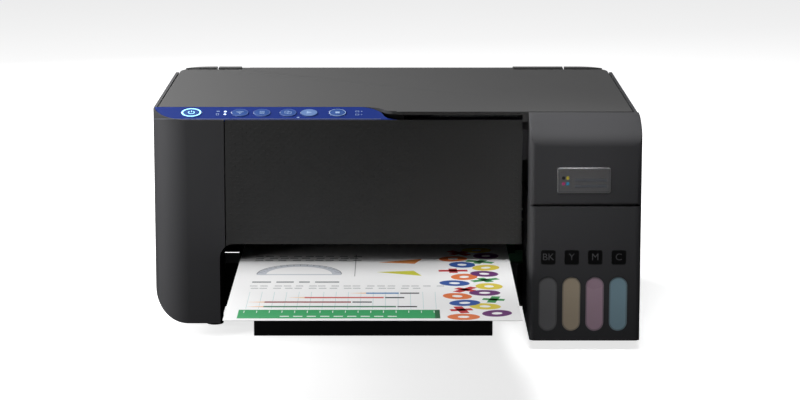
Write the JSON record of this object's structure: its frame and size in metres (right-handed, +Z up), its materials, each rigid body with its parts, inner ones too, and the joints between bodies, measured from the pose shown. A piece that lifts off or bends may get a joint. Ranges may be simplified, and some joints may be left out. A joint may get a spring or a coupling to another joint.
{
  "type": "inkjet printer",
  "caption": "Flatbed ink tank printer with a lifting scanner unit, hinged lid, sloping button strip, front ink tanks, rear paper feeder and pull-out tray.",
  "frame": {"origin": "middle of the whole object's footprint on the surface it stands on, with the tray out", "axes": "+Z up, -Y towards the user and the paper tray, +X towards the ink tanks"},
  "size_m": [0.375, 0.51, 0.179],
  "materials": {
    "body_black": "fine textured black moulded plastic",
    "panel_black": "black plastic with a relief of small triangles",
    "lid_black": "black plastic with fine brushed lines",
    "control_blue": "blue printed film under a clear coat",
    "button_blue": "moulded blue plastic key",
    "tank_clear": "smoky translucent plastic",
    "badge_silver": "brushed silver plate",
    "inner_grey": "dark grey moulded plastic",
    "steel": "zinc plated sheet steel",
    "rubber": "moulded rubber",
    "belt": "reinforced belt",
    "glass": "clear float glass",
    "pad_white": "white foam backed film",
    "paper": "printed white paper",
    "board": "green circuit board",
    "cap_grey": "dark grey flexible plastic"
  },
  "bodies": {
    "casing": {"base_case": "body_black", "left_housing": "body_black", "right_housing": "body_black", "rear_housing": "body_black", "rubber_feet": "rubber", "housing_screws": "steel", "tank_housing": "body_black", "ink_tanks": "tank_clear", "engine_frame": "steel", "platen": "inner_grey", "feed_motor": "steel", "feed_belt": "belt", "carriage_belt": "belt", "carriage_motor": "steel", "capping_station": "inner_grey", "ink_tubes": "tank_clear", "power_supply": "inner_grey", "main_board": "board"},
    "scanner_unit": {"scanner_base": "body_black", "scanner_bezel": "body_black", "scanner_glass": "glass", "lid_hinges": "inner_grey", "scan_belt": "belt", "scan_motor": "steel", "front_panel": "panel_black", "control_panel": "control_blue"},
    "lid": {"document_lid": "lid_black", "lid_pad": "pad_white"},
    "scan_head": {"scan_bar": "inner_grey"},
    "scan_idler": {"scan_idler_pulley": "inner_grey"},
    "scan_drive": {"scan_drive_pulley": "inner_grey"},
    "ink_cover": {"tank_cover": "body_black", "tank_badge": "badge_silver"},
    "tray": {"output_tray": "body_black"},
    "tray_end": {"output_tray_extension": "body_black"},
    "sheet": {"printed_sheet": "paper"},
    "feed": {"feed_roller": "rubber"},
    "eject": {"eject_roller": "rubber"},
    "stars": {"star_wheels": "steel"},
    "pinion": {"feed_pinion": "inner_grey"},
    "head_carriage": {"carriage": "inner_grey", "print_head": "inner_grey"},
    "belt_idler": {"carriage_idler_pulley": "inner_grey"},
    "belt_drive": {"carriage_drive_pulley": "inner_grey"},
    "support": {"paper_support": "body_black"},
    "support_end": {"paper_support_extension": "body_black"},
    "guard": {"feeder_guard": "body_black"},
    "hopper": {"hopper_plate": "inner_grey"},
    "guide": {"edge_guide": "inner_grey"},
    "pickup": {"pickup_roller": "rubber"},
    "power_button_key": {"power_button": "button_blue"},
    "wireless_button_key": {"wireless_button": "button_blue"},
    "status_button_key": {"status_button": "button_blue"},
    "mono_copy_button_key": {"mono_copy_button": "button_blue"},
    "start_button_key": {"start_button": "button_blue"},
    "stop_button_key": {"stop_button": "button_blue"},
    "tank_cap_black_flap": {"tank_cap_black": "cap_grey"},
    "tank_cap_yellow_flap": {"tank_cap_yellow": "cap_grey"},
    "tank_cap_magenta_flap": {"tank_cap_magenta": "cap_grey"},
    "tank_cap_cyan_flap": {"tank_cap_cyan": "cap_grey"}
  },
  "joints": [
    {"name": "scanner_unit_lift", "type": "hinge", "parent": "casing", "child": "scanner_unit", "pos_m": [0, 0.214, 0.165], "axis": [-1, 0, 0], "range_deg": [0, 25]},
    {"name": "lid_lift", "type": "hinge", "parent": "scanner_unit", "child": "lid", "pos_m": [0, 0.214, 0.1698], "axis": [-1, 0, 0], "range_deg": [0, 70]},
    {"name": "ink_cover_tilt", "type": "hinge", "parent": "casing", "child": "ink_cover", "pos_m": [0.145, -0.0894, 0.1147], "axis": [1, 0, 0], "range_deg": [0, 95]},
    {"name": "tank_cap_black_flip", "type": "hinge", "parent": "casing", "child": "tank_cap_black_flap", "pos_m": [0.1171, -0.0595, 0.1135], "axis": [-1, 0, 0], "range_deg": [0, 85]},
    {"name": "tank_cap_yellow_flip", "type": "hinge", "parent": "casing", "child": "tank_cap_yellow_flap", "pos_m": [0.13495, -0.0595, 0.1135], "axis": [-1, 0, 0], "range_deg": [0, 85]},
    {"name": "tank_cap_magenta_flip", "type": "hinge", "parent": "casing", "child": "tank_cap_magenta_flap", "pos_m": [0.1528, -0.0595, 0.1135], "axis": [-1, 0, 0], "range_deg": [0, 85]},
    {"name": "tank_cap_cyan_flip", "type": "hinge", "parent": "casing", "child": "tank_cap_cyan_flap", "pos_m": [0.17065, -0.0595, 0.1135], "axis": [-1, 0, 0], "range_deg": [0, 85]},
    {"name": "power_button_press", "type": "slide", "parent": "scanner_unit", "child": "power_button_key", "axis": [0, 0.2726, -0.9621], "range_m": [0, 0.001], "stiffness_N_per_m": 900, "springref_m": -0.0004},
    {"name": "wireless_button_press", "type": "slide", "parent": "scanner_unit", "child": "wireless_button_key", "axis": [0, 0.2726, -0.9621], "range_m": [0, 0.001], "stiffness_N_per_m": 900, "springref_m": -0.0004},
    {"name": "status_button_press", "type": "slide", "parent": "scanner_unit", "child": "status_button_key", "axis": [0, 0.2726, -0.9621], "range_m": [0, 0.001], "stiffness_N_per_m": 900, "springref_m": -0.0004},
    {"name": "mono_copy_button_press", "type": "slide", "parent": "scanner_unit", "child": "mono_copy_button_key", "axis": [0, 0.2726, -0.9621], "range_m": [0, 0.001], "stiffness_N_per_m": 900, "springref_m": -0.0004},
    {"name": "start_button_press", "type": "slide", "parent": "scanner_unit", "child": "start_button_key", "axis": [0, 0.2726, -0.9621], "range_m": [0, 0.001], "stiffness_N_per_m": 900, "springref_m": -0.0004},
    {"name": "stop_button_press", "type": "slide", "parent": "scanner_unit", "child": "stop_button_key", "axis": [0, 0.2726, -0.9621], "range_m": [0, 0.001], "stiffness_N_per_m": 900, "springref_m": -0.0004},
    {"name": "scan_slide", "type": "slide", "parent": "scanner_unit", "child": "scan_head", "axis": [1, 0, 0], "range_m": [0, 0.286]},
    {"name": "scan_idler_spin", "type": "hinge", "parent": "scanner_unit", "child": "scan_idler", "pos_m": [-0.155, -0.018, 0.156], "axis": [0, 0, 1], "range_deg": [-4100, 5]},
    {"name": "scan_drive_spin", "type": "hinge", "parent": "scanner_unit", "child": "scan_drive", "pos_m": [0.163, -0.018, 0.156], "axis": [0, 0, 1], "range_deg": [-4100, 5]},
    {"name": "tray_slide", "type": "slide", "parent": "casing", "child": "tray", "axis": [0, 1, 0], "range_m": [0, 0.102]},
    {"name": "tray_end_slide", "type": "slide", "parent": "tray", "child": "tray_end", "axis": [0, 1, 0], "range_m": [0, 0.107]},
    {"name": "sheet_slide", "type": "slide", "parent": "casing", "child": "sheet", "axis": [0, -1, 0], "range_m": [0, 0.25]},
    {"name": "feed_spin", "type": "hinge", "parent": "casing", "child": "feed", "pos_m": [0, 0.112, 0.065], "axis": [1, 0, 0], "continuous": true},
    {"name": "eject_spin", "type": "hinge", "parent": "casing", "child": "eject", "pos_m": [0, 0.053, 0.065], "axis": [1, 0, 0], "continuous": true},
    {"name": "star_spin", "type": "hinge", "parent": "casing", "child": "stars", "pos_m": [0, 0.053, 0.0747], "axis": [1, 0, 0], "continuous": true},
    {"name": "pinion_spin", "type": "hinge", "parent": "casing", "child": "pinion", "pos_m": [-0.135, 0.134, 0.072], "axis": [1, 0, 0], "continuous": true},
    {"name": "carriage_slide", "type": "slide", "parent": "casing", "child": "head_carriage", "axis": [-1, 0, 0], "range_m": [0, 0.215], "deforming": ["ink_tubes"]},
    {"name": "belt_idler_spin", "type": "hinge", "parent": "casing", "child": "belt_idler", "pos_m": [-0.112, 0.133, 0.123], "axis": [0, 0, 1], "range_deg": [-2745, 5]},
    {"name": "belt_drive_spin", "type": "hinge", "parent": "casing", "child": "belt_drive", "pos_m": [0.162, 0.133, 0.123], "axis": [0, 0, 1], "range_deg": [-2745, 5]},
    {"name": "support_slide", "type": "slide", "parent": "casing", "child": "support", "axis": [0, 0, 1], "range_m": [0, 0.096]},
    {"name": "support_end_slide", "type": "slide", "parent": "support", "child": "support_end", "axis": [0, 0, 1], "range_m": [0, 0.08]},
    {"name": "guard_tilt", "type": "hinge", "parent": "casing", "child": "guard", "pos_m": [0, 0.2311, 0.1737], "axis": [1, 0, 0], "range_deg": [0, 90]},
    {"name": "hopper_tilt", "type": "hinge", "parent": "casing", "child": "hopper", "pos_m": [0, 0.2385, 0.148], "axis": [-1, 0, 0], "range_deg": [0, 5]},
    {"name": "guide_slide", "type": "slide", "parent": "hopper", "child": "guide", "axis": [-1, 0, 0], "range_m": [0, 0.05]},
    {"name": "pickup_spin", "type": "hinge", "parent": "casing", "child": "pickup", "pos_m": [0, 0.21, 0.084], "axis": [1, 0, 0], "continuous": true}
  ],
  "couplings": [
    {"joint": "scan_idler_spin", "follows": "scan_slide", "rad_per_m": -250},
    {"joint": "scan_drive_spin", "follows": "scan_slide", "rad_per_m": -250},
    {"joint": "belt_idler_spin", "follows": "carriage_slide", "rad_per_m": -222.22},
    {"joint": "belt_drive_spin", "follows": "carriage_slide", "rad_per_m": -222.22},
    {"joint": "pinion_spin", "follows": "feed_spin", "ratio": 2.75},
    {"joint": "eject_spin", "follows": "feed_spin", "ratio": 1},
    {"joint": "star_spin", "follows": "feed_spin", "ratio": -1.1111}
  ]
}
